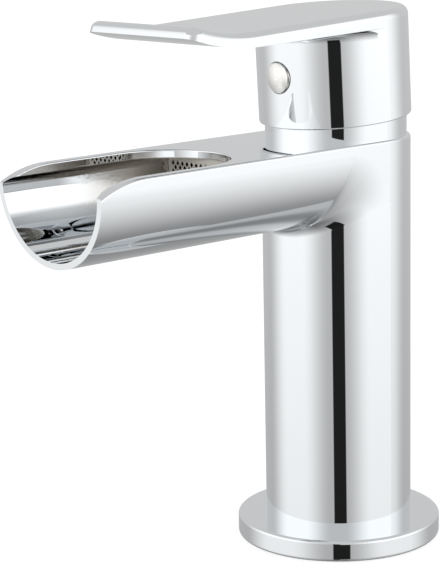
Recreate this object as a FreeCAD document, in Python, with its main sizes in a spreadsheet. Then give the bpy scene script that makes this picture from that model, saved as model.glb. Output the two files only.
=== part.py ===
import FreeCAD, Part
import math
import operator
import os
import Sketcher
from FreeCAD import Placement, Rotation, Vector

# Single-lever basin tap with an open waterfall spout. Millimetres and degrees. The origin is the centre
# of the foot's underside, +Z is up, and the spout points towards -Y.

SIZES = [
    # Foot and column
    ("body_radius", 23.0),
    ("deck_height", 127.6),
    ("flange_radius", 32.0),
    ("flange_thickness", 6.65),
    ("flange_round", 1.0),
    ("spigot_radius", 20.5),
    ("spigot_fit", 0.1),
    ("gasket_margin", 3.0),
    ("gasket_width", 4.5),
    ("gasket_depth", 2.0),
    ("gasket_fit", 0.1),
    # Spout
    ("spout_radius", 23.0),
    ("spout_axis_drop", 3.2),
    ("spout_wall", 1.85),
    ("spout_reach", 111.2),
    ("junction_round", 2.5),
    ("mouth_lean", 2.5),
    ("rim_curve_start", 95.0),
    ("rim_curve_radius", 34.5),
    ("deck_plate", 2.5),
    ("channel_start", 27.0),
    ("channel_round", 2.5),
    ("slot_half_width", 19.4),
    ("slot_arc_reach", 70.0),
    ("deck_edge_round", 0.8),
    ("slot_edge_round", 0.5),
    # Waterways
    ("hose_bore_radius", 4.5),
    ("hose_bore_depth", 12.0),
    ("hose_side_offset", 9.0),
    ("hose_front_offset", 3.0),
    ("supply_radius", 6.5),
    ("supply_top_drop", 6.0),
    ("stud_hole_radius", 3.4),
    ("stud_hole_depth", 22.0),
    ("stud_back_offset", 11.0),
    ("chamber_radius", 19.3),
    ("chamber_height", 10.6),
    ("passage_radius", 3.9),
    # Strainer
    ("strainer_thickness", 0.8),
    ("strainer_setback", 0.4),
    ("strainer_fit", 0.1),
    ("strainer_margin", 0.6),
    ("strainer_pitch", 2.07),
    ("strainer_row", 1.25),
    ("strainer_hole_width", 1.4),
    ("strainer_hole_height", 1.7),
    ("frame_width", 2.0),
    ("frame_depth", 4.0),
    # Cartridge in the column
    ("pivot_rise", 2.0),
    ("floor_drop", 29.7),
    ("bore_radius", 17.6),
    ("bore_fit", 0.15),
    ("base_thickness", 4.1),
    ("base_step", 1.75),
    ("base_rim", 1.95),
    ("port_side_offset", 6.5),
    ("port_front_offset", 4.5),
    ("port_radius", 2.9),
    ("port_seal_width", 1.6),
    ("port_seal_height", 1.5),
    ("outlet_back_offset", 6.0),
    ("outlet_radius", 3.6),
    ("outlet_window_height", 2.2),
    ("peg_radius", 1.5),
    ("peg_length", 1.5),
    ("peg_side_offset", 12.0),
    ("peg_fit", 0.1),
    ("disc_seal_radius", 13.2),
    ("disc_seal_width", 1.4),
    ("disc_seal_depth", 0.9),
    ("disc_gap", 0.05),
    ("fixed_disc_thickness", 3.35),
    ("fixed_disc_fit", 0.2),
    ("moving_disc_radius", 12.0),
    ("moving_disc_thickness", 3.1),
    ("kidney_inner_radius", 5.0),
    ("kidney_outer_radius", 9.5),
    ("kidney_half_angle", 25.0),
    ("kidney_direction", 125.0),
    ("mixing_radius", 6.5),
    ("mixing_depth", 1.7),
    ("mixing_back_offset", 4.2),
    ("housing_wall", 1.95),
    ("housing_shoulder_drop", 7.2),
    ("housing_roof", 2.4),
    ("neck_radius", 14.6),
    ("neck_height", 10.2),
    ("nut_thread_radius", 20.0),
    ("nut_thread_fit", 0.1),
    ("nut_thread_depth", 0.9),
    ("nut_height", 9.2),
    ("nut_neck_fit", 0.2),
    ("nut_notch_width", 4.0),
    ("nut_notch_depth", 3.0),
    ("nut_notch_count", 6),
    # Turning guide and sliding carrier
    ("guide_radius", 13.0),
    ("guide_fit", 0.1),
    ("guide_flange_radius", 15.1),
    ("guide_flange_thickness", 3.95),
    ("guide_head_room", 0.15),
    ("guide_height", 4.4),
    ("guide_slot_front", 6.2),
    ("guide_slot_back", 6.8),
    ("stop_inner_radius", 13.9),
    ("stop_depth", 1.8),
    ("stop_half_angle", 12.0),
    ("stop_fit", 0.2),
    ("swing", 45.0),
    ("swing_spare", 2.0),
    ("carrier_gap", 0.15),
    ("tongue_half_width", 6.0),
    ("tongue_half_length", 6.5),
    ("tongue_height", 2.85),
    ("tongue_fit", 0.05),
    ("tongue_room", 0.6),
    ("tongue_travel", 4.4),
    ("carrier_peg_offset", 8.5),
    ("carrier_peg_radius", 1.5),
    ("carrier_peg_length", 1.0),
    # Lever
    ("lean", 2.84),
    ("stem_side", 8.0),
    ("stem_length", 29.0),
    ("stem_slot_fit", 0.1),
    ("pin_radius", 1.5),
    ("pin_fit", 0.03),
    ("pin_length", 24.0),
    ("knuckle_radius", 5.0),
    ("arm_thickness", 6.2),
    ("arm_length", 10.0),
    ("finger_length", 13.0),
    ("finger_radius", 2.9),
    ("finger_neck_radius", 1.9),
    ("finger_fit", 0.1),
    # Collar dome under the handle
    ("collar_radius", 21.8),
    ("dome_radius", 22.15),
    ("dome_wall", 1.5),
    ("dome_mouth_radius", 14.0),
    # Handle
    ("cap_radius", 23.4),
    ("cap_wall", 0.95),
    ("cap_height", 36.7),
    ("rim_height", 3.71),
    ("rim_slope", 1.81),
    ("rim_round", 0.4),
    ("blade_length", 75.2),
    ("blade_thickness", 3.8),
    ("bend_start", 52.4),
    ("bend_radius", 61.3),
    ("tip_corner_round", 3.5),
    ("top_round", 1.0),
    ("web_radius", 1.8),
    ("web_half_angle", 80.0),
    ("web_inset", 0.02),
    ("boss_radius", 8.5),
    ("boss_foot", 12.0),
    ("socket_fit", 0.05),
    ("socket_spare", 1.0),
    ("screw_height", 18.4),
    ("screw_radius", 2.5),
    ("screw_fit", 0.05),
    ("screw_length", 5.0),
    ("screw_key_width", 2.5),
    ("screw_key_depth", 2.5),
    ("button_radius", 4.75),
    ("button_fit", 0.15),
    ("button_face_radius", 4.45),
    ("button_proud", 0.35),
    ("button_dome", 0.75),
    ("button_depth", 3.4),
    # Extra length of a cut beyond the face that it leaves
    ("overcut", 2.0),
]

doc = FreeCAD.newDocument("BasinTap")
sheet = doc.addObject("Spreadsheet::Sheet", "Sizes")
for row, (alias, number) in enumerate(SIZES, 1):
    sheet.set(f"A{row}", alias)
    sheet.set(f"B{row}", str(number))
    sheet.setAlias(f"B{row}", alias)
doc.recompute()

SIGNS = {"+": operator.add, "-": operator.sub, "*": operator.mul, "/": operator.truediv}


class Size:
    """A size that knows its value and the formula, in cells of the sheet, that gives it."""

    def __init__(self, value, formula):
        self.value = value
        self.formula = formula

    @staticmethod
    def of(number):
        return number if isinstance(number, Size) else Size(float(number), f"({float(number)})")

    @staticmethod
    def joined(left, sign, right):
        left = Size.of(left)
        right = Size.of(right)
        return Size(SIGNS[sign](left.value, right.value), f"({left.formula} {sign} {right.formula})")

    def __add__(self, other):
        return Size.joined(self, "+", other)

    def __radd__(self, other):
        return Size.joined(other, "+", self)

    def __sub__(self, other):
        return Size.joined(self, "-", other)

    def __rsub__(self, other):
        return Size.joined(other, "-", self)

    def __mul__(self, other):
        return Size.joined(self, "*", other)

    def __rmul__(self, other):
        return Size.joined(other, "*", self)

    def __truediv__(self, other):
        return Size.joined(self, "/", other)

    def __neg__(self):
        return Size.joined(0, "-", self)


def root(size):
    return Size(math.sqrt(size.value), f"sqrt({size.formula})")


def sine(angle):
    angle = Size.of(angle)
    return Size(math.sin(math.radians(angle.value)), f"sin({angle.formula})")


def cosine(angle):
    angle = Size.of(angle)
    return Size(math.cos(math.radians(angle.value)), f"cos({angle.formula})")


def tangent(angle):
    angle = Size.of(angle)
    return Size(math.tan(math.radians(angle.value)), f"tan({angle.formula})")


class Cells:
    """The sheet's sizes as attributes."""

    def __getattr__(self, alias):
        return Size(float(sheet.get(alias)), f"Sizes.{alias}")


D = Cells()
ZERO = Size.of(0)


def bind(target, path, size):
    """Drive a property from the sheet."""
    target.setExpression(path, Size.of(size).formula)


def new_body(label):
    body = doc.addObject("PartDesign::Body", label)
    body.Label = label
    return body


def sketch(body, name, role, offset=ZERO):
    """A sketch on an origin plane of the body, moved along the plane's normal."""
    plane = next(item for item in body.Origin.OriginFeatures if item.Role == role)
    drawing = body.newObject("Sketcher::SketchObject", name)
    drawing.AttachmentSupport = [(plane, "")]
    drawing.MapMode = "FlatFace"
    bind(drawing, "AttachmentOffset.Base.z", offset)
    return drawing


def constrain(drawing, kind, edge, point, size):
    size = Size.of(size)
    if point is None:
        number = drawing.addConstraint(Sketcher.Constraint(kind, edge, size.value))
    else:
        number = drawing.addConstraint(Sketcher.Constraint(kind, -1, 1, edge, point, size.value))
    bind(drawing, f"Constraints[{number}]", size)


def circle(drawing, x, y, radius):
    x = Size.of(x)
    y = Size.of(y)
    ring = Part.Circle(Vector(x.value, y.value, 0), Vector(0, 0, 1), radius.value)
    edge = drawing.addGeometry(ring, False)
    constrain(drawing, "DistanceX", edge, 3, x)
    constrain(drawing, "DistanceY", edge, 3, y)
    constrain(drawing, "Radius", edge, None, radius)


class Arc:
    """The centre of a round stretch of an outline, and whether it turns clockwise."""

    def __init__(self, x, y, clockwise=False):
        self.x = Size.of(x)
        self.y = Size.of(y)
        self.clockwise = clockwise

    def curve(self, start, end):
        centre = Vector(self.x.value, self.y.value, 0)
        if self.clockwise:
            start, end = end, start
        first = math.atan2(start.y - centre.y, start.x - centre.x)
        last = math.atan2(end.y - centre.y, end.x - centre.x)
        ring = Part.Circle(centre, Vector(0, 0, 1), (start - centre).Length)
        return Part.ArcOfCircle(ring, first, last if last > first else last + 2 * math.pi)


def curves(corners):
    """The lines and arcs of a closed loop of corners (x, y) or (x, y, Arc for the way to the next)."""
    points = [Vector(Size.of(corner[0]).value, Size.of(corner[1]).value, 0) for corner in corners]
    made = []
    for corner, start, end in zip(corners, points, points[1:] + points[:1]):
        made.append(corner[2].curve(start, end) if len(corner) > 2 else Part.LineSegment(start, end))
    return made


def outline(drawing, corners):
    """Draw the loop and tie every corner and every arc's centre to the sheet."""
    made = curves(corners)
    edges = [drawing.addGeometry(curve, False) for curve in made]
    ends = [(2, 1) if len(corner) > 2 and corner[2].clockwise else (1, 2) for corner in corners]
    count = len(corners)
    for index in range(count):
        after = (index + 1) % count
        joint = Sketcher.Constraint("Coincident", edges[index], ends[index][1], edges[after], ends[after][0])
        drawing.addConstraint(joint)
    for index, corner in enumerate(corners):
        constrain(drawing, "DistanceX", edges[index], ends[index][0], corner[0])
        constrain(drawing, "DistanceY", edges[index], ends[index][0], corner[1])
        if len(corner) > 2:
            chord = made[index].EndPoint - made[index].StartPoint
            level = abs(chord.x) > abs(chord.y)
            centre = corner[2].y if level else corner[2].x
            constrain(drawing, "DistanceY" if level else "DistanceX", edges[index], 3, centre)


def rectangle(drawing, left, right, low, high):
    outline(drawing, [(left, low), (right, low), (right, high), (left, high)])


def sector(drawing, inner, outer, direction, half_angle):
    """Part of a ring about the origin, its middle at direction degrees clockwise from +Y."""
    first = Size.of(direction) - half_angle
    last = Size.of(direction) + half_angle
    around = Arc(0, 0, clockwise=True)
    back = Arc(0, 0)
    outline(drawing, [
        (outer * sine(first), outer * cosine(first), around),
        (outer * sine(last), outer * cosine(last)),
        (inner * sine(last), inner * cosine(last), back),
        (inner * sine(first), inner * cosine(first)),
    ])


def extrude(kind, body, name, drawing, length, both_ways=False, reverse=False):
    feature = body.newObject(f"PartDesign::{kind}", name)
    feature.Profile = drawing
    bind(feature, "Length", length)
    feature.Reversed = reverse
    if both_ways:
        feature.SideType = "Symmetric"
    return feature


def pad(body, name, drawing, length, both_ways=False, reverse=False):
    return extrude("Pad", body, name, drawing, length, both_ways, reverse)


def pocket(body, name, drawing, length, both_ways=False, reverse=False):
    return extrude("Pocket", body, name, drawing, length, both_ways, reverse)


def turn(kind, body, name, drawing, axis="V_Axis"):
    feature = body.newObject(f"PartDesign::{kind}", name)
    feature.Profile = drawing
    feature.ReferenceAxis = (drawing, [axis])
    feature.Angle = 360
    return feature


def round_edges(body, name, base, radius, chosen):
    """Fillet the edges of the last feature whose points all pass the test."""
    doc.recompute()
    names = []
    for number, edge in enumerate(base.Shape.Edges, 1):
        span = edge.LastParameter - edge.FirstParameter
        points = [edge.valueAt(edge.FirstParameter + share * span) for share in (0, 0.25, 0.5, 0.75, 1)]
        if all(chosen(point) for point in points):
            names.append(f"Edge{number}")
    feature = body.newObject("PartDesign::Fillet", name)
    feature.Base = (base, names)
    bind(feature, "Radius", radius)
    return feature


def near(value, size):
    return abs(value - Size.of(size).value) < 0.01


def turned_ring(label, inner, outer, low, high):
    """A plain ring about Z."""
    body = new_body(label)
    drawing = sketch(body, f"{label}_section", "XZ_Plane")
    rectangle(drawing, inner, outer, low, high)
    turn("Revolution", body, f"{label}_ring", drawing)
    return body


# Levels that several pieces share
spout_axis = D.deck_height - D.spout_axis_drop
pivot = D.deck_height + D.pivot_rise
floor = pivot - D.floor_drop
base_top = floor + D.base_thickness
disc_bed = base_top + D.base_step + D.disc_gap
disc_face = disc_bed + D.fixed_disc_thickness
carrier_foot = disc_face + D.disc_gap + D.moving_disc_thickness
shoulder = pivot - D.housing_shoulder_drop
roof = shoulder - D.housing_roof
guide_top = roof - D.guide_head_room
guide_foot = guide_top - D.guide_flange_thickness
carrier_top = guide_foot - D.carrier_gap
cavity_radius = D.bore_radius - D.bore_fit - D.housing_wall
finger_offset = D.finger_length * sine(D.lean)
slot_apex = D.slot_arc_reach - D.slot_half_width
strainer_front = slot_apex - D.strainer_setback
stem_half = D.stem_side / 2
gasket_outer = D.flange_radius - D.gasket_margin
gasket_inner = gasket_outer - D.gasket_width


def channel_corners(inset):
    """The spout's inner section, seen along the spout, drawn in by inset."""
    radius = D.spout_radius - D.spout_wall - inset
    ceiling = D.deck_height - D.deck_plate - inset
    bend = D.channel_round - inset
    rise = ceiling - bend - spout_axis
    reach = root((radius - bend) * (radius - bend) - rise * rise)
    side = reach * radius / (radius - bend)
    level = spout_axis + rise * radius / (radius - bend)
    return [
        (reach, ceiling),
        (-reach, ceiling, Arc(-reach, ceiling - bend)),
        (-side, level, Arc(0, spout_axis)),
        (side, level, Arc(reach, ceiling - bend)),
    ]


def body_casting():
    body = new_body("body_casting")
    column = sketch(body, "column_section", "XZ_Plane")
    outline(column, [
        (0, 0),
        (D.spigot_radius, 0),
        (D.spigot_radius, D.flange_thickness),
        (D.body_radius, D.flange_thickness),
        (D.body_radius, D.deck_height),
        (0, D.deck_height),
    ])
    turn("Revolution", body, "column", column)

    trough = sketch(body, "spout_section", "XZ_Plane")
    outline(trough, [
        (D.spout_radius, D.deck_height),
        (-D.spout_radius, D.deck_height),
        (-D.spout_radius, spout_axis, Arc(0, spout_axis)),
        (D.spout_radius, spout_axis),
    ])
    spout = pad(body, "spout", trough, D.spout_reach + D.overcut)

    def underside(point):
        below = D.flange_thickness.value + 0.01 < point.z < spout_axis.value + 0.01
        return below and near(math.hypot(point.x, point.y), D.body_radius)

    round_edges(body, "junction", spout, D.junction_round, underside)

    # Side view of the mouth: the rims curve down from the deck and meet a slightly leaning end face
    run = D.spout_reach - D.rim_curve_start
    rim_end = D.deck_height - D.rim_curve_radius + root(
        D.rim_curve_radius * D.rim_curve_radius - run * run)
    low = spout_axis - D.spout_radius - D.overcut
    side = sketch(body, "mouth_side", "YZ_Plane")
    outline(side, [
        (-D.rim_curve_start, D.deck_height + D.overcut),
        (-D.rim_curve_start, D.deck_height, Arc(-D.rim_curve_start, D.deck_height - D.rim_curve_radius)),
        (-D.spout_reach, rim_end),
        (-(D.spout_reach - (rim_end - low) * tangent(D.mouth_lean)), low),
        (-(D.spout_reach + 2 * D.overcut), low),
        (-(D.spout_reach + 2 * D.overcut), D.deck_height + D.overcut),
    ])
    mouth = pocket(body, "mouth", side, 2 * D.spout_radius + 2 * D.overcut, both_ways=True)

    def outer_rim(point):
        behind = near(point.z, D.deck_height) and near(math.hypot(point.x, point.y), D.body_radius)
        beside = near(abs(point.x), D.spout_radius) and point.z > spout_axis.value + 0.01
        return beside or (behind and point.y > -0.01)

    edged = round_edges(body, "deck_edges", mouth, D.deck_edge_round, outer_rim)

    slot = sketch(body, "slot_shape", "XY_Plane", D.deck_height + D.overcut)
    outline(slot, [
        (D.slot_half_width, -D.slot_arc_reach, Arc(0, -D.slot_arc_reach)),
        (-D.slot_half_width, -D.slot_arc_reach),
        (-D.slot_half_width, -(D.spout_reach + D.overcut)),
        (D.slot_half_width, -(D.spout_reach + D.overcut)),
    ])
    # Past the plate's underside, to break into the channel's round corners
    slotted = pocket(body, "slot", slot, D.overcut + D.deck_plate + D.channel_round / 2)

    def slot_rim(point):
        beside = near(abs(point.x), D.slot_half_width) and point.y < -D.slot_arc_reach.value + 0.01
        behind = near(math.hypot(point.x, point.y + D.slot_arc_reach.value), D.slot_half_width)
        behind = behind and point.y > -D.slot_arc_reach.value - 0.01
        top = D.deck_height.value
        if point.y < -D.rim_curve_start.value:
            radius = D.rim_curve_radius.value
            along = point.y + D.rim_curve_start.value
            top = top - radius + math.sqrt(radius * radius - along * along)
        return near(point.z, top) and (beside or behind)

    round_edges(body, "slot_edges", slotted, D.slot_edge_round, slot_rim)

    channel = sketch(body, "channel_section", "XZ_Plane", D.channel_start)
    outline(channel, channel_corners(ZERO))
    pocket(body, "channel", channel, D.spout_reach, reverse=True)

    # Stepped bore for the cartridge and its nut, with the ring chamber that carries the mixed water
    bore = sketch(body, "bore_section", "XZ_Plane")
    chamber_top = floor + D.chamber_height
    thread_foot = shoulder - D.nut_thread_depth
    outline(bore, [
        (0, floor),
        (D.chamber_radius, floor),
        (D.chamber_radius, chamber_top),
        (D.bore_radius, chamber_top),
        (D.bore_radius, thread_foot),
        (D.nut_thread_radius, thread_foot),
        (D.nut_thread_radius, D.deck_height + D.overcut),
        (0, D.deck_height + D.overcut),
    ])
    turn("Groove", body, "cartridge_bore", bore)

    passage = sketch(body, "passage_section", "XZ_Plane", D.channel_start + D.overcut)
    channel_foot = spout_axis - D.spout_radius + D.spout_wall
    circle(passage, 0, channel_foot + D.passage_radius, D.passage_radius)
    pocket(body, "passage", passage, D.channel_start + D.overcut - D.bore_radius)

    # From below: two threaded hose bores, the cored ways above them, and the stud's threaded hole
    foot = sketch(body, "hose_bores_plan", "XY_Plane")
    ways = sketch(body, "supply_plan", "XY_Plane", D.hose_bore_depth)
    ports = sketch(body, "ports_plan", "XY_Plane", floor - D.supply_top_drop - D.overcut)
    pegs = sketch(body, "peg_holes_plan", "XY_Plane", floor)
    for hand in (-1, 1):
        circle(foot, hand * D.hose_side_offset, -D.hose_front_offset, D.hose_bore_radius)
        circle(ways, hand * D.hose_side_offset, -D.hose_front_offset, D.supply_radius)
        circle(ports, hand * D.port_side_offset, -D.port_front_offset, D.port_radius)
        circle(pegs, hand * D.peg_side_offset, 0, D.peg_radius + D.peg_fit)
    pocket(body, "hose_bores", foot, D.hose_bore_depth + D.overcut, reverse=True)
    pocket(body, "supply_ways", ways, floor - D.supply_top_drop - D.hose_bore_depth, reverse=True)
    pocket(body, "inlet_ports", ports, D.supply_top_drop + 2 * D.overcut, reverse=True)
    pocket(body, "peg_holes", pegs, D.peg_length + D.peg_fit)
    stud = sketch(body, "stud_plan", "XY_Plane")
    circle(stud, 0, D.stud_back_offset, D.stud_hole_radius)
    pocket(body, "stud_hole", stud, D.stud_hole_depth, reverse=True)


def base_flange():
    body = new_body("base_flange")
    section = sketch(body, "flange_section", "XZ_Plane")
    inner = D.spigot_radius + D.spigot_fit
    edge = D.flange_radius - D.flange_round
    outline(section, [
        (inner, 0),
        (gasket_inner, 0),
        (gasket_inner, D.gasket_depth),
        (gasket_outer, D.gasket_depth),
        (gasket_outer, 0),
        (edge, 0, Arc(edge, D.flange_round)),
        (D.flange_radius, D.flange_round),
        (D.flange_radius, D.flange_thickness - D.flange_round, Arc(edge, D.flange_thickness - D.flange_round)),
        (edge, D.flange_thickness),
        (inner, D.flange_thickness),
    ])
    turn("Revolution", body, "flange", section)


def base_gasket():
    inner = gasket_inner + D.gasket_fit
    turned_ring("base_gasket", inner, gasket_outer - D.gasket_fit, ZERO, D.gasket_depth)


def strainer_frame():
    """The D-shaped ring behind the strainer plate."""
    body = new_body("strainer_frame")
    front = sketch(body, "frame_section", "XZ_Plane", strainer_front - D.strainer_thickness)
    outline(front, channel_corners(D.strainer_fit))
    outline(front, channel_corners(D.strainer_fit + D.frame_width))
    pad(body, "frame_ring", front, D.frame_depth, reverse=True)


def strainer_mesh():
    """A thin D-shaped plate with staggered diamond holes, standing across the channel."""
    def face(corners):
        return Part.Face(Part.Wire([curve.toShape() for curve in curves(corners)]))

    plate = face(channel_corners(D.strainer_fit))
    field = face(channel_corners(D.strainer_fit + D.strainer_margin))
    box = plate.BoundBox
    half_width = D.strainer_hole_width.value / 2
    half_height = D.strainer_hole_height.value / 2
    pitch = D.strainer_pitch.value
    rows = int(box.YLength / D.strainer_row.value)
    columns = int(box.XLength / pitch)
    diamonds = []
    for row in range(rows + 1):
        level = box.YMax - row * D.strainer_row.value
        for column in range(-columns, columns + 1):
            across = (column + 0.5 * (row % 2)) * pitch
            tips = [
                Vector(across + half_width, level, 0),
                Vector(across, level + half_height, 0),
                Vector(across - half_width, level, 0),
                Vector(across, level - half_height, 0),
            ]
            if all(field.isInside(tip, 0.001, True) for tip in tips):
                diamonds.append(Part.Wire(Part.makePolygon(tips + tips[:1]).Edges))
    holed = Part.Face([plate.OuterWire] + diamonds)
    holed.validate()
    mesh = doc.addObject("Part::Feature", "strainer_mesh")
    mesh.Label = "strainer_mesh"
    mesh.Shape = holed.extrude(Vector(0, 0, D.strainer_thickness.value))
    # The plate is drawn flat: its y becomes Z, and its thickness lies towards +Y behind the front face
    stand = Rotation(Vector(1, 0, 0), 90)
    mesh.Placement = Placement(Vector(0, -strainer_front.value + D.strainer_thickness.value, 0), stand)
    print("strainer holes:", len(diamonds))


def cartridge_base():
    body = new_body("cartridge_base")
    outer = D.bore_radius - D.bore_fit
    disc = sketch(body, "base_section", "XZ_Plane")
    outline(disc, [
        (0, floor),
        (outer, floor),
        (outer, base_top),
        (outer - D.base_rim - D.guide_fit, base_top),
        (outer - D.base_rim - D.guide_fit, base_top + D.base_step),
        (0, base_top + D.base_step),
    ])
    turn("Revolution", body, "base_disc", disc)
    pegs = sketch(body, "pegs_plan", "XY_Plane", floor)
    ports = sketch(body, "inlets_plan", "XY_Plane", floor)
    recesses = sketch(body, "seal_recess_plan", "XY_Plane", floor)
    for hand in (-1, 1):
        circle(pegs, hand * D.peg_side_offset, 0, D.peg_radius)
        circle(ports, hand * D.port_side_offset, -D.port_front_offset, D.port_radius)
        circle(recesses, hand * D.port_side_offset, -D.port_front_offset, D.port_radius + D.port_seal_width)
    pad(body, "pegs", pegs, D.peg_length, reverse=True)
    pocket(body, "inlets", ports, D.base_thickness + D.base_step + D.overcut, reverse=True)
    pocket(body, "seal_recesses", recesses, D.port_seal_height, reverse=True)
    outlet = sketch(body, "outlet_plan", "XY_Plane", base_top + D.base_step)
    circle(outlet, 0, D.outlet_back_offset, D.outlet_radius)
    well = D.base_step + D.outlet_window_height + D.disc_gap
    pocket(body, "outlet", outlet, well)
    window = sketch(body, "window_section", "XZ_Plane", -(outer + D.overcut))
    window_foot = base_top + D.base_step - well
    rectangle(window, -D.outlet_radius, D.outlet_radius, window_foot, window_foot + D.outlet_window_height)
    pocket(body, "window", window, outer + D.overcut - D.outlet_back_offset, reverse=True)
    groove = sketch(body, "disc_seal_groove_section", "XZ_Plane")
    top = base_top + D.base_step
    rectangle(groove, D.disc_seal_radius, D.disc_seal_radius + D.disc_seal_width,
              top - D.disc_seal_depth, top + D.overcut)
    turn("Groove", body, "disc_seal_groove", groove)


def seals():
    for name, hand in (("hot_port_seal", -1), ("cold_port_seal", 1)):
        body = turned_ring(name, D.port_radius + D.peg_fit, D.port_radius + D.port_seal_width - D.peg_fit,
                           floor, floor + D.port_seal_height)
        bind(body, "Placement.Base.x", hand * D.port_side_offset)
        bind(body, "Placement.Base.y", -D.port_front_offset)
    top = base_top + D.base_step
    turned_ring("disc_seal", D.disc_seal_radius + D.disc_gap,
                D.disc_seal_radius + D.disc_seal_width - D.disc_gap, top - D.disc_seal_depth, disc_bed)


def fixed_disc():
    body = new_body("fixed_disc")
    plan = sketch(body, "fixed_disc_plan", "XY_Plane", disc_bed)
    circle(plan, 0, 0, cavity_radius - D.fixed_disc_fit)
    pad(body, "fixed_disc_plate", plan, D.fixed_disc_thickness)
    ports = sketch(body, "kidney_plan", "XY_Plane", disc_bed)
    for hand in (-1, 1):
        sector(ports, D.kidney_inner_radius, D.kidney_outer_radius, hand * D.kidney_direction,
               D.kidney_half_angle)
    circle(ports, 0, D.outlet_back_offset, D.outlet_radius)
    pocket(body, "kidneys", ports, D.fixed_disc_thickness + D.overcut, reverse=True)


def moving_disc():
    body = new_body("moving_disc")
    foot = disc_face + D.disc_gap
    plan = sketch(body, "moving_disc_plan", "XY_Plane", foot)
    circle(plan, 0, 0, D.moving_disc_radius)
    pad(body, "moving_disc_plate", plan, D.moving_disc_thickness)
    mixing = sketch(body, "mixing_plan", "XY_Plane", foot)
    circle(mixing, 0, D.mixing_back_offset, D.mixing_radius)
    pocket(body, "mixing_recess", mixing, D.mixing_depth, reverse=True)
    sockets = sketch(body, "peg_sockets_plan", "XY_Plane", carrier_foot)
    for hand in (-1, 1):
        circle(sockets, hand * D.carrier_peg_offset, 0, D.carrier_peg_radius + D.peg_fit)
    pocket(body, "peg_sockets", sockets, D.carrier_peg_length + D.peg_fit)
    bind(body, "Placement.Base.y", finger_offset)


def disc_carrier():
    body = new_body("disc_carrier")
    plan = sketch(body, "carrier_plan", "XY_Plane", carrier_foot)
    circle(plan, 0, 0, D.moving_disc_radius)
    pad(body, "carrier_plate", plan, carrier_top - carrier_foot)
    tongue = sketch(body, "tongue_plan", "XY_Plane", carrier_top)
    rectangle(tongue, -D.tongue_half_width, D.tongue_half_width, -D.tongue_half_length, D.tongue_half_length)
    pad(body, "tongue", tongue, D.tongue_height)
    pegs = sketch(body, "carrier_pegs_plan", "XY_Plane", carrier_foot)
    for hand in (-1, 1):
        circle(pegs, hand * D.carrier_peg_offset, 0, D.carrier_peg_radius)
    pad(body, "carrier_pegs", pegs, D.carrier_peg_length, reverse=True)
    cup = sketch(body, "finger_cup_plan", "XY_Plane", carrier_top + D.tongue_height)
    half = D.finger_radius + D.finger_fit
    rectangle(cup, -half, half, -half, half)
    finger_foot = pivot - D.finger_length - D.finger_radius
    pocket(body, "finger_cup", cup, carrier_top + D.tongue_height - finger_foot + D.finger_fit)
    bind(body, "Placement.Base.y", finger_offset)


def cartridge_housing():
    body = new_body("cartridge_housing")
    outer = D.bore_radius - D.bore_fit
    neck_inner = D.guide_radius + D.guide_fit
    neck_top = shoulder + D.neck_height
    shell = sketch(body, "housing_section", "XZ_Plane")
    outline(shell, [
        (cavity_radius, base_top),
        (outer, base_top),
        (outer, shoulder),
        (D.neck_radius, shoulder),
        (D.neck_radius, neck_top),
        (neck_inner, neck_top),
        (neck_inner, roof),
        (cavity_radius, roof),
    ])
    turn("Revolution", body, "housing_shell", shell)
    key = sketch(body, "stop_key_plan", "XY_Plane", roof)
    sector(key, D.stop_inner_radius, cavity_radius + D.guide_fit, 0, D.stop_half_angle)
    pad(body, "stop_key", key, D.stop_depth, reverse=True)


def cartridge_nut():
    body = new_body("cartridge_nut")
    ring = sketch(body, "nut_section", "XZ_Plane")
    inner = D.neck_radius + D.nut_neck_fit
    outer = D.nut_thread_radius - D.nut_thread_fit
    rectangle(ring, inner, outer, shoulder, shoulder + D.nut_height)
    turn("Revolution", body, "nut_ring", ring)
    notch = sketch(body, "notch_plan", "XY_Plane", shoulder + D.nut_height)
    rectangle(notch, inner - D.overcut, outer + D.overcut, -D.nut_notch_width / 2, D.nut_notch_width / 2)
    cut = pocket(body, "notch", notch, D.nut_notch_depth)
    around = body.newObject("PartDesign::PolarPattern", "notches")
    around.Originals = [cut]
    around.Axis = (notch, ["N_Axis"])
    around.Angle = 360
    bind(around, "Occurrences", D.nut_notch_count)
    body.Tip = around


def lever_guide():
    body = new_body("lever_guide")
    rim = sketch(body, "guide_flange_plan", "XY_Plane", guide_foot)
    circle(rim, 0, 0, D.guide_flange_radius)
    pad(body, "guide_flange", rim, D.guide_flange_thickness)
    barrel = sketch(body, "guide_barrel_plan", "XY_Plane", guide_foot)
    circle(barrel, 0, 0, D.guide_radius)
    top = pivot + D.guide_height
    pad(body, "guide_barrel", barrel, top - guide_foot)
    tongue_way = sketch(body, "tongue_way_plan", "XY_Plane", guide_foot)
    half = D.tongue_half_width + D.tongue_fit
    reach = D.tongue_half_length + D.tongue_travel
    rectangle(tongue_way, -half, half, -reach, reach)
    way_depth = D.tongue_height + D.tongue_room - D.carrier_gap
    pocket(body, "tongue_way", tongue_way, way_depth, reverse=True)
    slot = sketch(body, "lever_slot_plan", "XY_Plane", top)
    width = stem_half + D.stem_slot_fit
    rectangle(slot, -width, width, -D.guide_slot_front, D.guide_slot_back)
    pocket(body, "lever_slot", slot, top - guide_foot - way_depth + D.overcut)
    pin = sketch(body, "guide_pin_section", "YZ_Plane")
    circle(pin, 0, pivot, D.pin_radius + D.pin_fit)
    pocket(body, "guide_pin_bore", pin, 2 * D.guide_radius + D.overcut, both_ways=True)
    stop = sketch(body, "stop_way_plan", "XY_Plane", guide_top + D.overcut)
    span = D.stop_half_angle + D.swing + D.swing_spare
    sector(stop, D.stop_inner_radius - D.stop_fit, D.guide_flange_radius + D.overcut, 0, span)
    pocket(body, "stop_way", stop, D.stop_depth + D.stop_fit + D.overcut)


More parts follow.
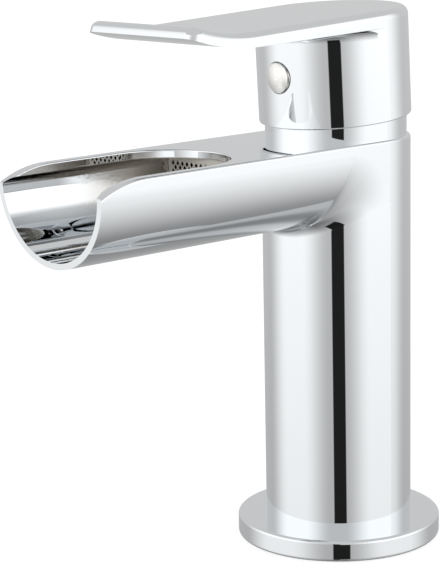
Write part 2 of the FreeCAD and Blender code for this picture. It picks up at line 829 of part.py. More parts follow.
def lever_pivot_pin():
    body = new_body("lever_pivot_pin")
    section = sketch(body, "pin_section", "YZ_Plane")
    circle(section, 0, pivot, D.pin_radius)
    pad(body, "pin", section, D.pin_length, both_ways=True)


def lean_forward(body):
    """Set a piece that is drawn about the pivot on the leaning lever axis."""
    body.Placement = Placement(Vector(0, 0, pivot.value), Rotation(Vector(1, 0, 0), D.lean.value))
    bind(body, "Placement.Base.z", pivot)
    bind(body, "Placement.Rotation.Angle", D.lean)


def cartridge_lever():
    body = new_body("cartridge_lever")
    knuckle = sketch(body, "knuckle_section", "YZ_Plane")
    circle(knuckle, 0, 0, D.knuckle_radius)
    pad(body, "knuckle", knuckle, D.stem_side, both_ways=True)
    stem = sketch(body, "stem_plan", "XY_Plane")
    rectangle(stem, -stem_half, stem_half, -stem_half, stem_half)
    pad(body, "stem", stem, D.stem_length)
    arm = sketch(body, "arm_plan", "XY_Plane")
    rectangle(arm, -stem_half, stem_half, -D.arm_thickness / 2, D.arm_thickness / 2)
    pad(body, "arm", arm, D.arm_length, reverse=True)
    finger = sketch(body, "finger_section", "XZ_Plane")
    finger_root = D.arm_length - D.finger_neck_radius
    drop = root(D.finger_radius * D.finger_radius - D.finger_neck_radius * D.finger_neck_radius)
    outline(finger, [
        (0, -finger_root),
        (0, -(D.finger_length + D.finger_radius), Arc(0, -D.finger_length)),
        (D.finger_neck_radius, drop - D.finger_length),
        (D.finger_neck_radius, -finger_root),
    ])
    turn("Revolution", body, "finger", finger)
    bore = sketch(body, "lever_bore_section", "YZ_Plane")
    circle(bore, 0, 0, D.pin_radius + D.pin_fit)
    pocket(body, "lever_bore", bore, D.stem_side + D.overcut, both_ways=True)
    lean_forward(body)


def collar_dome():
    """A plain ring on the deck that closes to a ball about the lever's pivot."""
    body = new_body("collar_dome")
    inner = D.nut_thread_radius
    inner_dome = D.dome_radius - D.dome_wall
    outer_spring = pivot + root(D.dome_radius * D.dome_radius - D.collar_radius * D.collar_radius)
    outer_mouth = pivot + root(
        D.dome_radius * D.dome_radius - D.dome_mouth_radius * D.dome_mouth_radius)
    inner_mouth = pivot + root(inner_dome * inner_dome - D.dome_mouth_radius * D.dome_mouth_radius)
    inner_spring = pivot + root(inner_dome * inner_dome - inner * inner)
    section = sketch(body, "dome_section", "XZ_Plane")
    outline(section, [
        (inner, D.deck_height),
        (D.collar_radius, D.deck_height),
        (D.collar_radius, outer_spring, Arc(0, pivot)),
        (D.dome_mouth_radius, outer_mouth),
        (D.dome_mouth_radius, inner_mouth, Arc(0, pivot, clockwise=True)),
        (inner, inner_spring),
    ])
    turn("Revolution", body, "dome", section)


def lever_handle():
    """Cap and blade, drawn upright about the pivot and then leaned."""
    body = new_body("lever_handle")
    cap = sketch(body, "cap_plan", "XY_Plane")
    circle(cap, 0, 0, D.cap_radius)
    pad(body, "cap", cap, D.cap_height)

    # Side view of the blade: straight, then bent up on arcs about one centre
    lower = D.cap_height - D.blade_thickness
    centre = Arc(-D.bend_start, D.cap_height + D.bend_radius, clockwise=True)
    back = Arc(-D.bend_start, D.cap_height + D.bend_radius)
    outer_bend = D.bend_radius + D.blade_thickness
    run = D.blade_length - D.bend_start
    share = run / D.bend_radius
    fall = root(D.bend_radius * D.bend_radius - run * run) / D.bend_radius
    blade = sketch(body, "blade_side", "YZ_Plane")
    outline(blade, [
        (0, lower),
        (0, D.cap_height),
        (-D.bend_start, D.cap_height, centre),
        (-D.blade_length, D.cap_height + D.bend_radius - D.bend_radius * fall),
        (-D.bend_start - outer_bend * share, D.cap_height + D.bend_radius - outer_bend * fall, back),
        (-D.bend_start, lower),
    ])
    bladed = pad(body, "blade", blade, 2 * D.cap_radius, both_ways=True)

    def tip_corner(point):
        return near(abs(point.x), D.cap_radius) and point.y < -D.blade_length.value + 0.01

    cornered = round_edges(body, "tip_corners", bladed, D.tip_corner_round, tip_corner)
    top = D.cap_height.value
    bend_centre = Vector(0, -D.bend_start.value, top + D.bend_radius.value)

    def on_top(point):
        if point.y > bend_centre.y:
            return near(point.z, top)
        return near(math.hypot(point.y - bend_centre.y, point.z - bend_centre.z), D.bend_radius)

    def top_rim(point):
        beside = near(abs(point.x), D.cap_radius) and point.y < 0.01
        behind = point.y > -0.01 and near(math.hypot(point.x, point.y), D.cap_radius)
        return on_top(point) and (beside or behind or near(point.y, -D.blade_length))

    round_edges(body, "top_edges", cornered, D.top_round, top_rim)

    # Concave web where the cap runs into the blade's underside: turned round the front of the cap, then
    # trimmed just inside the blade's two sides
    web = sketch(body, "web_section", "YZ_Plane")
    edge = -(D.cap_radius + D.web_radius)
    buried = -(D.cap_radius - D.cap_wall / 2)
    outline(web, [
        (buried, lower),
        (edge, lower, Arc(edge, lower - D.web_radius, clockwise=True)),
        (-D.cap_radius, lower - D.web_radius),
        (buried, lower - D.web_radius),
    ])
    webbed = turn("Revolution", body, "web", web)
    webbed.Midplane = True
    bind(webbed, "Angle", 2 * D.web_half_angle)
    trim = sketch(body, "web_trim_plan", "XY_Plane", lower)
    flank = D.cap_radius - D.web_inset
    web_end = -D.cap_radius * cosine(D.web_half_angle)
    rectangle(trim, flank, flank + D.web_radius + D.overcut, edge, web_end)
    rectangle(trim, -(flank + D.web_radius + D.overcut), -flank, edge, web_end)
    pocket(body, "web_trim", trim, D.web_radius + D.overcut)

    # The rim leans against the cap's axis: low in front and high at the back
    rim = sketch(body, "rim_side", "YZ_Plane")
    reach = D.cap_radius + D.overcut
    rise = reach * tangent(D.rim_slope)
    outline(rim, [
        (-reach, -D.overcut),
        (reach, -D.overcut),
        (reach, D.rim_height + rise),
        (-reach, D.rim_height - rise),
    ])
    pocket(body, "rim", rim, 2 * reach, both_ways=True)

    inside = sketch(body, "cap_inside_plan", "XY_Plane")
    circle(inside, 0, 0, D.cap_radius - D.cap_wall)
    hollow = pocket(body, "cap_inside", inside, lower, reverse=True)

    def rim_edge(point):
        level = D.rim_height.value + point.y * math.tan(math.radians(D.rim_slope.value))
        return near(point.z, level) and near(math.hypot(point.x, point.y), D.cap_radius)

    round_edges(body, "rim_edge", hollow, D.rim_round, rim_edge)

    boss = sketch(body, "boss_plan", "XY_Plane", D.boss_foot)
    circle(boss, 0, 0, D.boss_radius)
    pad(body, "boss", boss, lower + D.blade_thickness / 2 - D.boss_foot)
    socket = sketch(body, "socket_plan", "XY_Plane", D.boss_foot - D.overcut)
    half = stem_half + D.socket_fit
    rectangle(socket, -half, half, -half, half)
    pocket(body, "socket", socket, D.stem_length + D.socket_spare - D.boss_foot + D.overcut, reverse=True)
    screw_hole = sketch(body, "screw_hole_section", "XZ_Plane")
    circle(screw_hole, 0, D.screw_height, D.screw_radius + D.screw_fit)
    pocket(body, "screw_hole", screw_hole, D.boss_radius + D.overcut, reverse=True)
    button_hole = sketch(body, "button_hole_section", "XZ_Plane", D.boss_radius + D.overcut)
    circle(button_hole, 0, D.screw_height, D.button_radius + D.button_fit)
    pocket(body, "button_hole", button_hole, D.cap_radius, reverse=True)
    lean_forward(body)


def indicator_button():
    """A domed plug that closes the screw's hole in the front of the cap."""
    body = new_body("indicator_button")
    section = sketch(body, "button_section", "XY_Plane")
    rise = D.button_dome
    ball = (D.button_face_radius * D.button_face_radius + rise * rise) / (2 * rise)
    face = -(D.cap_radius + D.button_proud)
    inner = -(D.cap_radius + D.button_proud - D.button_depth)
    outline(section, [
        (0, inner),
        (0, face - rise, Arc(0, face - rise + ball)),
        (D.button_face_radius, face),
        (D.button_radius, face + (D.button_radius - D.button_face_radius)),
        (D.button_radius, inner),
    ])
    turn("Revolution", body, "button", section)
    centre = D.screw_height
    body.Placement = Placement(Vector(0, 0, 0), Rotation(Vector(1, 0, 0), D.lean.value))
    bind(body, "Placement.Base.y", -centre * sine(D.lean))
    bind(body, "Placement.Base.z", pivot + centre * cosine(D.lean))
    bind(body, "Placement.Rotation.Angle", D.lean)


def grub_screw():
    """The set screw that holds the handle on the stem."""
    body = new_body("grub_screw")
    section = sketch(body, "screw_section", "XZ_Plane", stem_half + D.socket_fit)
    circle(section, 0, D.screw_height, D.screw_radius)
    pad(body, "screw", section, D.screw_length)
    key = sketch(body, "screw_key_section", "XZ_Plane", stem_half + D.socket_fit + D.screw_length)
    corner = D.screw_key_width / (2 * cosine(30))
    outline(key, [(corner * sine(60 * side), D.screw_height + corner * cosine(60 * side)) for side in range(6)])
    pocket(body, "screw_key", key, D.screw_key_depth)
    lean_forward(body)


for build in (body_casting, base_flange, base_gasket, strainer_frame, strainer_mesh, cartridge_base, seals,
              fixed_disc, moving_disc, disc_carrier, cartridge_housing, cartridge_nut, lever_guide,
              lever_pivot_pin, cartridge_lever, collar_dome, lever_handle, indicator_button, grub_screw):
    build()
doc.recompute()

faults = [item.Name for item in doc.Objects if {"Invalid", "Error"} & set(item.State)]
if faults:
    raise RuntimeError(f"objects that failed: {faults}")
for item in doc.Objects:
    if item.TypeId in ("PartDesign::Pocket", "PartDesign::Groove"):
        if item.Shape.Volume > item.BaseFeature.Shape.Volume - 0.001:
            raise RuntimeError(f"{item.Name} cuts nothing")
nodes = [item for item in doc.Objects if item.TypeId in ("PartDesign::Body", "Part::Feature")]
for node in nodes:
    if node.Shape.isNull() or not node.Shape.isValid():
        raise RuntimeError(f"{node.Label} has no valid shape")

os.makedirs("parts", exist_ok=True)
for node in nodes:
    node.Shape.exportStep(f"parts/{node.Label}.step")
print("nodes written:", len(nodes))
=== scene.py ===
"""The waterfall basin tap in its studio: finishes for every part, the light and the camera."""

import math

import bpy
from mathutils import Matrix, Vector


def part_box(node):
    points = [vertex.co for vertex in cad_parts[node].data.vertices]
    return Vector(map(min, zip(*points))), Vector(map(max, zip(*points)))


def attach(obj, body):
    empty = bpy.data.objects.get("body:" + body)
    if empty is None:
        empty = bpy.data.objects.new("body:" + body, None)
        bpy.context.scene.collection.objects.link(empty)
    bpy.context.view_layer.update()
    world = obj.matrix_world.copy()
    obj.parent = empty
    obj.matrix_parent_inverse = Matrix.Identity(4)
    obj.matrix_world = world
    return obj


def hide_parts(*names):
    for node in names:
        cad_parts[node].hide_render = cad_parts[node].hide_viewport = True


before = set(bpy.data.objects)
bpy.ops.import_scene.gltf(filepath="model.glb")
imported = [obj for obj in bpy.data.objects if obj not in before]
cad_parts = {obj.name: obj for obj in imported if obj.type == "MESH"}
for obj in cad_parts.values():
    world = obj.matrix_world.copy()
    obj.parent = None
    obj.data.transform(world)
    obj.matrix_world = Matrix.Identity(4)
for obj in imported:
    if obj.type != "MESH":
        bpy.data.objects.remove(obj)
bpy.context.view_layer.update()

MM = 0.001
# The column and the spout's axis in millimetres, as in the CAD
COLUMN_RADIUS = 23.0
SPOUT_LEVEL = 124.4


class Value:
    """A number inside a shader. Python's operators on it add Math nodes."""

    def __init__(self, finish, socket):
        self.finish = finish
        self.socket = socket

    def combine(self, operation, first, second):
        return self.finish.node(
            "ShaderNodeMath", {"operation": operation}, {0: first, 1: second}
        ).value()

    def __add__(self, other):
        return self.combine("ADD", self, other)

    def __sub__(self, other):
        return self.combine("SUBTRACT", self, other)

    def __rsub__(self, other):
        return self.combine("SUBTRACT", other, self)

    def __mul__(self, other):
        return self.combine("MULTIPLY", self, other)

    def __gt__(self, other):
        return self.combine("GREATER_THAN", self, other)

    def __lt__(self, other):
        return self.combine("LESS_THAN", self, other)

    def sine(self):
        return self.combine("SINE", self, 0.0)

    def root(self):
        return self.combine("SQRT", self, 0.0)

    def absolute(self):
        return self.combine("ABSOLUTE", self, 0.0)

    def least(self, other):
        return self.combine("MINIMUM", self, other)

    def angle(self, ahead):
        return self.combine("ARCTAN2", self, ahead)

    __radd__ = __add__
    __rmul__ = __mul__


class Built:
    """A shader node that has been added, with its outputs."""

    def __init__(self, finish, node):
        self.finish = finish
        self.node = node

    def value(self, output=0):
        return Value(self.finish, self.node.outputs[output])


class Finish:
    """The node tree of one material, or of the world."""

    def __init__(self, tree):
        self.tree = tree
        self.tree.nodes.clear()

    def node(self, kind, settings=None, sockets=None):
        node = self.tree.nodes.new(kind)
        for name, setting in (settings or {}).items():
            setattr(node, name, setting)
        for name, wanted in (sockets or {}).items():
            if isinstance(wanted, Value):
                self.tree.links.new(wanted.socket, node.inputs[name])
            else:
                node.inputs[name].default_value = wanted
        return Built(self, node)


def grey(level):
    return (level, level, level, 1.0)


# Finishes of the metal, plastic, rubber and ceramic parts

CHROME_LIGHT = (0.865, 0.885, 0.9, 1.0)
CHROME_DEEP = (0.85, 0.872, 0.89, 1.0)
PLATE_LIGHT = (0.86, 0.82, 0.76, 1.0)
PLATE_DEEP = (0.76, 0.72, 0.66, 1.0)
# Painted shade: the dark colour painted down the walls of the strainer's holes
PLATE_PAINTED_SHADE = (0.03, 0.025, 0.02, 1.0)
WATERWAY_TINT = (0.6, 0.575, 0.54, 1.0)
# Painted shade: the dark colour painted in the waterway beyond the strainer
WATERWAY_PAINTED_SHADE = (0.1, 0.085, 0.07, 1.0)
BRASS_LIGHT = (0.78, 0.6, 0.3, 1.0)
BRASS_DEEP = (0.6, 0.43, 0.2, 1.0)

# Noise: cells to a metre, detail and sharpness
HAZE_SCALE = 60.0
HAZE_DETAIL = 4.0
WIPE_SCALE = 14.0
SPOT_SCALE = 420.0
SPOT_DETAIL = 1.0
SPOT_START = 0.72
SPOT_FULL = 0.8
CLOUD_SCALE = 45.0
CAST_GRAIN = 900.0
METAL_GRAIN = 500.0
MOULDED_GRAIN = 700.0
CERAMIC_GRAIN = 1400.0
PLATE_GRAIN = 1600.0
GRAIN_DETAIL = 3.0
SHARPNESS = 0.6

# Roughness, and how much haze, dried water and grain add to it
CHROME_ROUGHNESS = 0.012
HAZE_ROUGHNESS = 0.02
SPOT_ROUGHNESS = 0.05
GRAIN_ROUGHNESS = 0.12
PLATE_ROUGHNESS = 0.3
WATERWAY_ROUGHNESS = 0.16
WATERWAY_GRAIN_ROUGHNESS = 0.1
BORE_ROUGHNESS = 0.25
BORE_GRAIN_ROUGHNESS = 0.15

# Bumps: how deep and how strong
RIPPLE_DEPTH = 0.2 * MM
RIPPLE_STRENGTH = 0.12
WATERWAY_BUMP = 0.3
BORE_BUMP = 0.5
TOOL_RINGS = 18000.0
RING_DEPTH = 0.02 * MM
RING_STRENGTH = 0.4
SKIN_DEPTH = 0.03 * MM
SKIN_STRENGTH = 0.35

# Where the casting and the strainer change their finish, and where painted shade starts in the waterway
# and down the walls of the strainer's holes
mesh_low, mesh_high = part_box("strainer_mesh")
CLEAR_OF_MESH = 0.3 * MM
SPOUT_AXIS = SPOUT_LEVEL * MM
TROUGH_RADIUS = mesh_high.x + CLEAR_OF_MESH
TROUGH_TOP = mesh_high.z + CLEAR_OF_MESH
TROUGH_START = 26 * MM
TROUGH_POLISHED = 92 * MM
TROUGH_DULL = 66 * MM
STRAINER_BACK = mesh_high.y
STRAINER_FACE = mesh_low.y
FACE_SKIN = 0.03 * MM
BORE_REACH = 21.5 * MM


def start_material(name):
    material = bpy.data.materials.new(name)
    material.use_nodes = True
    return material, Finish(material.node_tree)


def object_place(finish):
    return finish.node("ShaderNodeTexCoord").value("Object")


def noise(finish, place, scale, detail=2.0, roughness=0.5):
    return finish.node(
        "ShaderNodeTexNoise",
        {},
        {"Vector": place, "Scale": scale, "Detail": detail, "Roughness": roughness},
    ).value("Fac")


def blend(finish, amount, first, second):
    return finish.node(
        "ShaderNodeMix", {"data_type": "RGBA"}, {"Factor": amount, 6: first, 7: second}
    ).value(2)


def bump(finish, height, depth, strength):
    return finish.node(
        "ShaderNodeBump", {}, {"Height": height, "Distance": depth, "Strength": strength}
    ).value("Normal")


def close(finish, sockets):
    shader = finish.node("ShaderNodeBsdfPrincipled", {}, sockets)
    finish.node("ShaderNodeOutputMaterial", {}, {"Surface": shader.value("BSDF")})


def apart(finish, place):
    """The three coordinates of a place."""
    parts = finish.node("ShaderNodeSeparateXYZ", {}, {"Vector": place})
    return parts.value("X"), parts.value("Y"), parts.value("Z")


def length(x, y):
    return (x * x + y * y).root()


def fade(finish, value, start, end):
    """0 at start, 1 at end and smooth between."""
    return finish.node(
        "ShaderNodeMapRange",
        {"interpolation_type": "SMOOTHSTEP"},
        {"Value": value, "From Min": start, "From Max": end},
    ).value()


def plating(finish, place):
    """What all the chrome shares: colour, gloss with a trace of dried water, and a slow ripple."""
    haze = noise(finish, place, HAZE_SCALE, HAZE_DETAIL, SHARPNESS)
    wiped = noise(finish, place, WIPE_SCALE)
    colour = blend(finish, haze, CHROME_LIGHT, CHROME_DEEP)
    spots = fade(finish, noise(finish, place, SPOT_SCALE, SPOT_DETAIL), SPOT_START, SPOT_FULL)
    gloss = CHROME_ROUGHNESS + HAZE_ROUGHNESS * haze + SPOT_ROUGHNESS * spots * wiped
    return colour, gloss, wiped


def polished_chrome(name):
    material, finish = start_material(name)
    place = object_place(finish)
    colour, gloss, wiped = plating(finish, place)
    ripple = bump(finish, wiped, RIPPLE_DEPTH, RIPPLE_STRENGTH)
    close(finish, {"Base Color": colour, "Metallic": 1.0, "Roughness": gloss, "Normal": ripple})
    return material


def cast_body(name):
    """Chrome outside, duller down the waterway, painted shade in the waterway beyond the strainer, and
    bare brass in the bores that only the fitter sees.
    """
    material, finish = start_material(name)
    place = object_place(finish)
    colour, gloss, wiped = plating(finish, place)
    x, y, z = apart(finish, place)
    in_trough = (length(x, z - SPOUT_AXIS) < TROUGH_RADIUS) * (z < TROUGH_TOP) * (y < -TROUGH_START)
    deep = in_trough * fade(finish, y, -TROUGH_POLISHED, -TROUGH_DULL)
    # Painted shade: the waterway beyond the strainer is coloured dark, where shade falls
    painted_shade_behind = in_trough * (y > STRAINER_BACK)
    in_bores = (length(x, y) < BORE_REACH) * (z < TROUGH_TOP)
    grain = noise(finish, place, CAST_GRAIN, GRAIN_DETAIL, SHARPNESS)
    colour = blend(finish, deep, colour, WATERWAY_TINT)
    colour = blend(finish, painted_shade_behind, colour, WATERWAY_PAINTED_SHADE)
    colour = blend(finish, in_bores, colour, blend(finish, grain, BRASS_LIGHT, BRASS_DEEP))
    dull_way = deep * (WATERWAY_ROUGHNESS + WATERWAY_GRAIN_ROUGHNESS * grain)
    dull_bores = in_bores * (BORE_ROUGHNESS + BORE_GRAIN_ROUGHNESS * grain)
    surface = wiped * RIPPLE_STRENGTH + grain * (deep * WATERWAY_BUMP + in_bores * BORE_BUMP)
    close(
        finish,
        {
            "Base Color": colour,
            "Metallic": 1.0,
            "Roughness": gloss + (dull_way + dull_bores),
            "Normal": bump(finish, surface, RIPPLE_DEPTH, 1.0),
        },
    )
    return material


def turned_metal(name, light, dark, roughness):
    """Machined metal with fine tool rings about the tap's axis."""
    material, finish = start_material(name)
    place = object_place(finish)
    x, y, z = apart(finish, place)
    rings = ((length(x, y) + z) * TOOL_RINGS).sine() * 0.5 + 0.5
    grain = noise(finish, place, METAL_GRAIN, GRAIN_DETAIL, SHARPNESS)
    close(
        finish,
        {
            "Base Color": blend(finish, grain, light, dark),
            "Metallic": 1.0,
            "Roughness": roughness + GRAIN_ROUGHNESS * grain,
            "Normal": bump(finish, rings + grain, RING_DEPTH, RING_STRENGTH),
        },
    )
    return material


def close_skin(finish, place, colour, roughness, grain_scale):
    """Finish a material with a fine moulded, ground or etched skin."""
    grain = noise(finish, place, grain_scale, GRAIN_DETAIL, SHARPNESS)
    close(
        finish,
        {
            "Base Color": colour,
            "Roughness": roughness + GRAIN_ROUGHNESS * grain,
            "Normal": bump(finish, grain, SKIN_DEPTH, SKIN_STRENGTH),
        },
    )


def moulded(name, light, dark, roughness, grain_scale=MOULDED_GRAIN):
    """Plastic, rubber or ceramic, a little cloudy."""
    material, finish = start_material(name)
    place = object_place(finish)
    colour = blend(finish, noise(finish, place, CLOUD_SCALE), light, dark)
    close_skin(finish, place, colour, roughness, grain_scale)
    return material


def etched_plate(name):
    """The strainer's plate: pale on its face, with painted shade down the walls of its holes."""
    material, finish = start_material(name)
    place = object_place(finish)
    x, y, z = apart(finish, place)
    face = blend(finish, noise(finish, place, CLOUD_SCALE), PLATE_LIGHT, PLATE_DEEP)
    # Painted shade: everything past the plate's face, down the walls of the holes, is coloured dark
    colour = blend(finish, y > STRAINER_FACE + FACE_SKIN, face, PLATE_PAINTED_SHADE)
    close_skin(finish, place, colour, PLATE_ROUGHNESS, PLATE_GRAIN)
    return material


chrome = polished_chrome("polished_chrome")
FINISHES = {
    "chrome_plate": chrome,
    "button_plate": turned_metal("satin_plate", (0.93, 0.92, 0.89, 1.0), (0.87, 0.86, 0.83, 1.0), 0.16),
    "steel_mesh": etched_plate("etched_steel"),
    "steel_part": turned_metal("turned_steel", (0.62, 0.62, 0.61, 1.0), (0.5, 0.5, 0.5, 1.0), 0.25),
    "dark_steel": turned_metal("blackened_steel", (0.1, 0.1, 0.11, 1.0), (0.05, 0.05, 0.055, 1.0), 0.35),
    "brass_raw": turned_metal("turned_brass", BRASS_LIGHT, BRASS_DEEP, 0.28),
    "ceramic": moulded(
        "ground_ceramic", (0.88, 0.87, 0.84, 1.0), (0.82, 0.81, 0.78, 1.0), 0.12, CERAMIC_GRAIN
    ),
    "seal_rubber": moulded("seal_rubber", (0.028, 0.028, 0.03, 1.0), (0.018, 0.018, 0.02, 1.0), 0.6),
    "frame_plastic": moulded("strainer_plastic", (0.5, 0.48, 0.45, 1.0), (0.42, 0.4, 0.37, 1.0), 0.4),
    "cartridge_plastic": moulded(
        "cartridge_plastic", (0.75, 0.76, 0.76, 1.0), (0.68, 0.69, 0.7, 1.0), 0.42
    ),
    "carrier_plastic": moulded("carrier_plastic", (0.16, 0.2, 0.26, 1.0), (0.12, 0.16, 0.21, 1.0), 0.45),
}
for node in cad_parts.values():
    for holder in node.material_slots:
        holder.material = FINISHES[holder.material.name]
body_finish = cast_body("cast_body")
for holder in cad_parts["body_casting"].material_slots:
    holder.material = body_finish


# The pieces that are shaped further than their solids. Lengths in millimetres until they go into a mesh

# How far the blend under the spout reaches: in front, and how much more at the two sides
BLEND_REACH = 3.0
BLEND_SIDE_REACH = 12.0
# The points across it, the rings along it, and how deep its back lies in the casting
BLEND_POINTS = 18
BLEND_RINGS = 95
BURIED = 0.6

# The handle as in the CAD: it leans about its pivot, and heights and lengths start there
PIVOT = 129.6
LEAN = math.radians(2.84)
CAP_RADIUS = 23.4
CAP_INSIDE = 22.6
CAP_HEIGHT = 36.7
BLADE_THICKNESS = 3.8
BEND_START = 52.4
BEND_RADIUS = 61.3
BLADE_END = 75.77
TIP_ROUND = 3.5
# The round on its top edge and the fillet under the blade, and how many times larger they become
EDGE_ROUND = 1.0
EDGE_GROWTH = 2.6
WEB_ROUND = 1.8
WEB_GROWTH = 1.6
# How much thicker the blade is at its root, and how fast that fades towards the tip
ROOT_DROP = 1.15
ROOT_FALL = 1.3
NEAR = 0.02
# Points closer than this, in metres, are one
JOINED = 0.000001


def fit(piece, body, slot, finish, *nodes):
    """Give a finished piece its material, its body and the CAD nodes that it stands for."""
    piece.data.materials.clear()
    piece.data.materials.append(finish)
    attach(piece, body)
    if nodes:
        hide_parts(*nodes)


def merged_copy(node_name, piece_name):
    """A copy of a CAD node with its triangles joined, and the normals of their corners."""
    bpy.ops.object.select_all(action="DESELECT")
    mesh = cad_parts[node_name].data.copy()
    piece = bpy.data.objects.new(piece_name, mesh)
    bpy.context.scene.collection.objects.link(piece)
    piece.select_set(True)
    bpy.context.view_layer.objects.active = piece
    normals = []
    for face in mesh.polygons:
        ends = [mesh.vertices[index].co for index in face.vertices]
        # A face with two corners in one place is gone once they are joined
        if all((first - second).length > JOINED for first, second in zip(ends, ends[1:] + ends[:1])):
            normals += [mesh.corner_normals[corner].vector.copy() for corner in face.loop_indices]
    bpy.ops.object.mode_set(mode="EDIT")
    bpy.ops.mesh.select_all(action="SELECT")
    bpy.ops.mesh.remove_doubles(threshold=JOINED)
    bpy.ops.object.mode_set(mode="OBJECT")
    return piece, normals


def blend_point(turn, rise):
    """A point of the blend and its normal. Turn goes round the column, rise goes up the blend."""
    share = abs(turn) / (math.pi / 2)
    reach = BLEND_REACH + BLEND_SIDE_REACH * share**2
    growth = math.copysign(2 * BLEND_SIDE_REACH * share / (math.pi / 2), turn)
    front = COLUMN_RADIUS * math.cos(turn)
    place = Vector(
        (
            COLUMN_RADIUS * math.sin(turn),
            -front - reach + reach * math.cos(rise),
            SPOUT_LEVEL - front - reach + reach * math.sin(rise),
        )
    )
    slope = COLUMN_RADIUS * math.sin(turn) - growth
    round_way = Vector((front, slope + growth * math.cos(rise), slope + growth * math.sin(rise)))
    up_way = Vector((0, -math.sin(rise), math.cos(rise)))
    normal = round_way.cross(up_way).normalized()
    outward = Vector((math.sin(turn), -math.cos(rise), -math.sin(rise)))
    return place, normal if normal.dot(outward) > 0 else -normal


def junction_blend():
    """The soft inner corner where spout and column meet: a closed sliver with its back buried."""
    bpy.ops.object.select_all(action="DESELECT")
    bpy.ops.mesh.primitive_cylinder_add(vertices=BLEND_POINTS + 1, radius=1, depth=2)
    piece = bpy.context.object
    piece.name = "junction_blend"
    mesh = piece.data
    bpy.ops.object.mode_set(mode="EDIT")
    bpy.ops.mesh.select_mode(type="EDGE")
    bpy.ops.mesh.select_all(action="DESELECT")
    bpy.ops.object.mode_set(mode="OBJECT")
    # Only the edges that run from end to end are cut into rings
    for edge in mesh.edges:
        low, high = (mesh.vertices[end].co.z for end in edge.vertices)
        edge.select = abs(low - high) > 1
    bpy.ops.object.mode_set(mode="EDIT")
    bpy.ops.mesh.subdivide(number_cuts=BLEND_RINGS)
    bpy.ops.mesh.select_mode(type="VERT")
    bpy.ops.object.mode_set(mode="OBJECT")
    step = 2 * math.pi / (BLEND_POINTS + 1)
    normals = {}
    for point in mesh.vertices:
        number = round(math.atan2(point.co.y, point.co.x) / step) % (BLEND_POINTS + 1)
        turn = point.co.z * math.pi / 2
        if number < BLEND_POINTS:
            rise = number / (BLEND_POINTS - 1) * math.pi / 2
            place, normals[point.index] = blend_point(turn, rise)
        else:
            inside = BURIED * math.cos(turn)
            front = COLUMN_RADIUS * math.cos(turn)
            place = Vector((COLUMN_RADIUS * math.sin(turn), inside - front, SPOUT_LEVEL - front + inside))
        point.co = place * MM
    # Laying the tube along the joint turns it inside out
    bpy.ops.object.mode_set(mode="EDIT")
    bpy.ops.mesh.select_all(action="SELECT")
    bpy.ops.mesh.flip_normals()
    bpy.ops.object.mode_set(mode="OBJECT")
    bpy.ops.object.shade_smooth()
    corners = []
    for face in mesh.polygons:
        shown = len(face.vertices) == 4 and all(index in normals for index in face.vertices)
        corners += [normals[index] if shown else face.normal.copy() for index in face.vertices]
    mesh.normals_split_custom_set(corners)
    fit(piece, "tap_body", "chrome_plate", chrome)


def unbent(place):
    """Where a point of the handle lies on the blade laid flat: aside, along it, and below its top."""
    x, y, z = place
    if y > -BEND_START:
        return x, -y, CAP_HEIGHT - z
    back, drop = -(y + BEND_START), CAP_HEIGHT + BEND_RADIUS - z
    return x, BEND_START + BEND_RADIUS * math.atan2(back, drop), math.hypot(back, drop) - BEND_RADIUS


def bent(x, along, depth):
    if along < BEND_START:
        return Vector((x, -along, CAP_HEIGHT - depth))
    turn = (along - BEND_START) / BEND_RADIUS
    out = BEND_RADIUS + depth
    return Vector((x, -BEND_START - out * math.sin(turn), CAP_HEIGHT + BEND_RADIUS - out * math.cos(turn)))


def from_outline(x, along):
    """How far a place lies inside the blade's outline, and which way is out."""
    side = math.copysign(1, x)
    corner = Vector((abs(x) - (CAP_RADIUS - TIP_ROUND), along - (BLADE_END - TIP_ROUND)))
    if along < 0:
        out = Vector((x, along))
        return CAP_RADIUS - out.length, out.normalized()
    if corner.x > 0 and corner.y > 0:
        return TIP_ROUND - corner.length, Vector((side * corner.x, corner.y)).normalized()
    if CAP_RADIUS - abs(x) < BLADE_END - along:
        return CAP_RADIUS - abs(x), Vector((side, 0))
    return BLADE_END - along, Vector((0, 1))


def rounded_handle():
    """The handle with the soft top edge and the thicker root that it has in the hand."""
    piece, normals = merged_copy("lever_handle", "rounded_handle")
    leaned = Matrix.Translation((0, 0, PIVOT)) @ Matrix.Rotation(LEAN, 4, "X")
    upright = leaned.inverted()
    for point in piece.data.vertices:
        x, along, depth = unbent(upright @ (point.co / MM))
        inset, out = from_outline(x, along)
        web = depth - BLADE_THICKNESS
        under_blade = -NEAR < web < WEB_ROUND + NEAR and math.hypot(x, along) > CAP_INSIDE
        if inset < EDGE_ROUND + NEAR and depth < EDGE_ROUND + NEAR:
            x -= out.x * inset * (EDGE_GROWTH - 1)
            along -= out.y * inset * (EDGE_GROWTH - 1)
            depth *= EDGE_GROWTH
        elif under_blade:
            share = min(1.0, max(0.0, (BLADE_END - along) / (BLADE_END - CAP_RADIUS)))
            depth = BLADE_THICKNESS + ROOT_DROP * share**ROOT_FALL + web * WEB_GROWTH
        point.co = (leaned @ bent(x, along, depth)) * MM
    piece.data.normals_split_custom_set(normals)
    fit(piece, "lever", "chrome_plate", chrome, "lever_handle")


junction_blend()
rounded_handle()


# The light tent, the floor and the camera

CAMERA_YAW = math.radians(48.09)
CAMERA_PITCH = math.radians(11.89)
CAMERA_ROLL = math.radians(-1.13)
CAMERA_PLACE = Vector((429.5, -434.6, 209.7)) * MM
CAMERA_LENS = 126.7
CAMERA_NEAREST = 0.01
CAMERA_FARTHEST = 50

FLOOR_RADIUS = 3.0
FLOOR_SIDES = 96
FLOOR_ROUGHNESS = 0.6
FLOOR_GLOW = 0.52
MOTTLE_SCALE = 3.0
PAPER_LIGHT = 0.82
PAPER_DEEP = 0.79

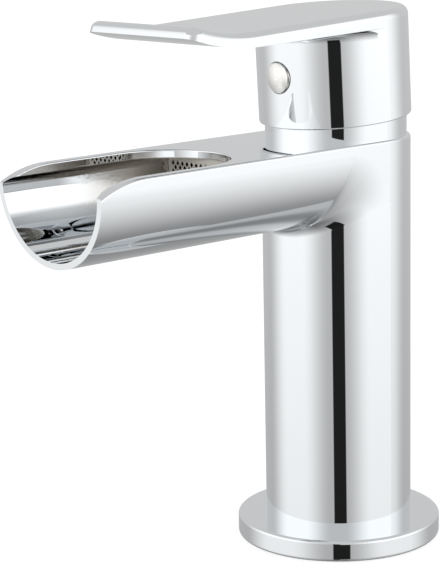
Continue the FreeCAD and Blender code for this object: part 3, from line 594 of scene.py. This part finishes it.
# The studio. Turns are degrees from the camera's side. Heights go from -1 straight down to 1 straight up
ROOM_LEVEL = 0.5
# A soft panel on either side: where its middle stands, and where it is full and where it ends from there
PANEL_TURN = 70
PANEL_CORE = 15
PANEL_REACH = 60
PANEL_TOP = 0.5
# The dark gap that the camera looks through
GAP_TURN = 3.5
GAP_HALF = 9
GAP_BOTTOM = -0.7
GAP_TOP = -0.05
GAP_DARK = 0.97
GAP_EDGE = 1.5
# How fast the panels and the gap end by height, and how much light the floor takes away straight below
HEIGHT_EDGE = 0.1
FLOOR_SHADE = 0.75
TENT_STRENGTH = 1.25


def camera_axes():
    """Right, up and forward of the camera, from how far it is turned, tipped and rolled."""
    right = Vector((math.cos(CAMERA_YAW), math.sin(CAMERA_YAW), 0))
    forward = Vector(
        (
            -math.sin(CAMERA_YAW) * math.cos(CAMERA_PITCH),
            math.cos(CAMERA_YAW) * math.cos(CAMERA_PITCH),
            -math.sin(CAMERA_PITCH),
        )
    )
    up = right.cross(forward)
    across = math.cos(CAMERA_ROLL) * right + math.sin(CAMERA_ROLL) * up
    upright = math.cos(CAMERA_ROLL) * up - math.sin(CAMERA_ROLL) * right
    return across, upright, forward


def set_camera():
    across, upright, forward = camera_axes()
    data = bpy.data.cameras.new("studio_camera")
    data.lens = CAMERA_LENS
    data.clip_start = CAMERA_NEAREST
    data.clip_end = CAMERA_FARTHEST
    camera = bpy.data.objects.new("studio_camera", data)
    bpy.context.scene.collection.objects.link(camera)
    turned = Matrix((across, upright, -forward)).transposed().to_4x4()
    camera.matrix_world = Matrix.Translation(CAMERA_PLACE) @ turned
    bpy.context.scene.camera = camera


def build_tent():
    """Plain soft light: a pale room, a broad panel on either side, and the dark gap."""
    world = bpy.data.worlds.new("light_tent")
    bpy.context.scene.world = world
    world.use_nodes = True
    tent = Finish(world.node_tree)
    x, y, z = apart(tent, tent.node("ShaderNodeTexCoord").value("Generated"))
    towards = Vector(CAMERA_PLACE[:2]).normalized()
    ahead = x * towards.x + y * towards.y
    aside = y * towards.x - x * towards.y
    turn = aside.angle(ahead) * (180 / math.pi)

    from_panel = (turn.absolute() - PANEL_TURN).absolute()
    panel = 1.0 - fade(tent, from_panel, PANEL_CORE, PANEL_REACH)
    panel = panel * (1.0 - fade(tent, z, PANEL_TOP, PANEL_TOP + HEIGHT_EDGE))
    from_gap = (turn - GAP_TURN).absolute()
    gap = 1.0 - fade(tent, from_gap, GAP_HALF, GAP_HALF + GAP_EDGE)
    gap = gap * fade(tent, z, GAP_BOTTOM, GAP_BOTTOM + HEIGHT_EDGE)
    gap = gap * (1.0 - fade(tent, z, GAP_TOP, GAP_TOP + HEIGHT_EDGE))
    light = ROOM_LEVEL + (1 - ROOM_LEVEL) * panel
    light = light * (1.0 + FLOOR_SHADE * z.least(0.0)) * (1.0 - GAP_DARK * gap)

    seen = tent.node("ShaderNodeLightPath").value("Is Camera Ray")
    shown = blend(tent, seen, light, grey(1.0))
    glow = tent.node("ShaderNodeBackground", {}, {"Color": shown, "Strength": TENT_STRENGTH})
    tent.node("ShaderNodeOutputWorld", {}, {"Surface": glow.value()})


def add_floor():
    bpy.ops.object.select_all(action="DESELECT")
    bpy.ops.mesh.primitive_circle_add(vertices=FLOOR_SIDES, radius=FLOOR_RADIUS, fill_type="NGON")
    floor = bpy.context.object
    floor.name = "studio_floor"
    floor.visible_glossy = False
    material, finish = start_material("pale_floor")
    mottle = noise(finish, object_place(finish), MOTTLE_SCALE)
    close(
        finish,
        {
            "Base Color": blend(finish, mottle, grey(PAPER_LIGHT), grey(PAPER_DEEP)),
            "Roughness": FLOOR_ROUGHNESS,
            "Emission Color": grey(1.0),
            "Emission Strength": FLOOR_GLOW,
        },
    )
    floor.data.materials.append(material)


add_floor()
build_tent()
set_camera()
bpy.context.scene.view_settings.view_transform = "Standard"
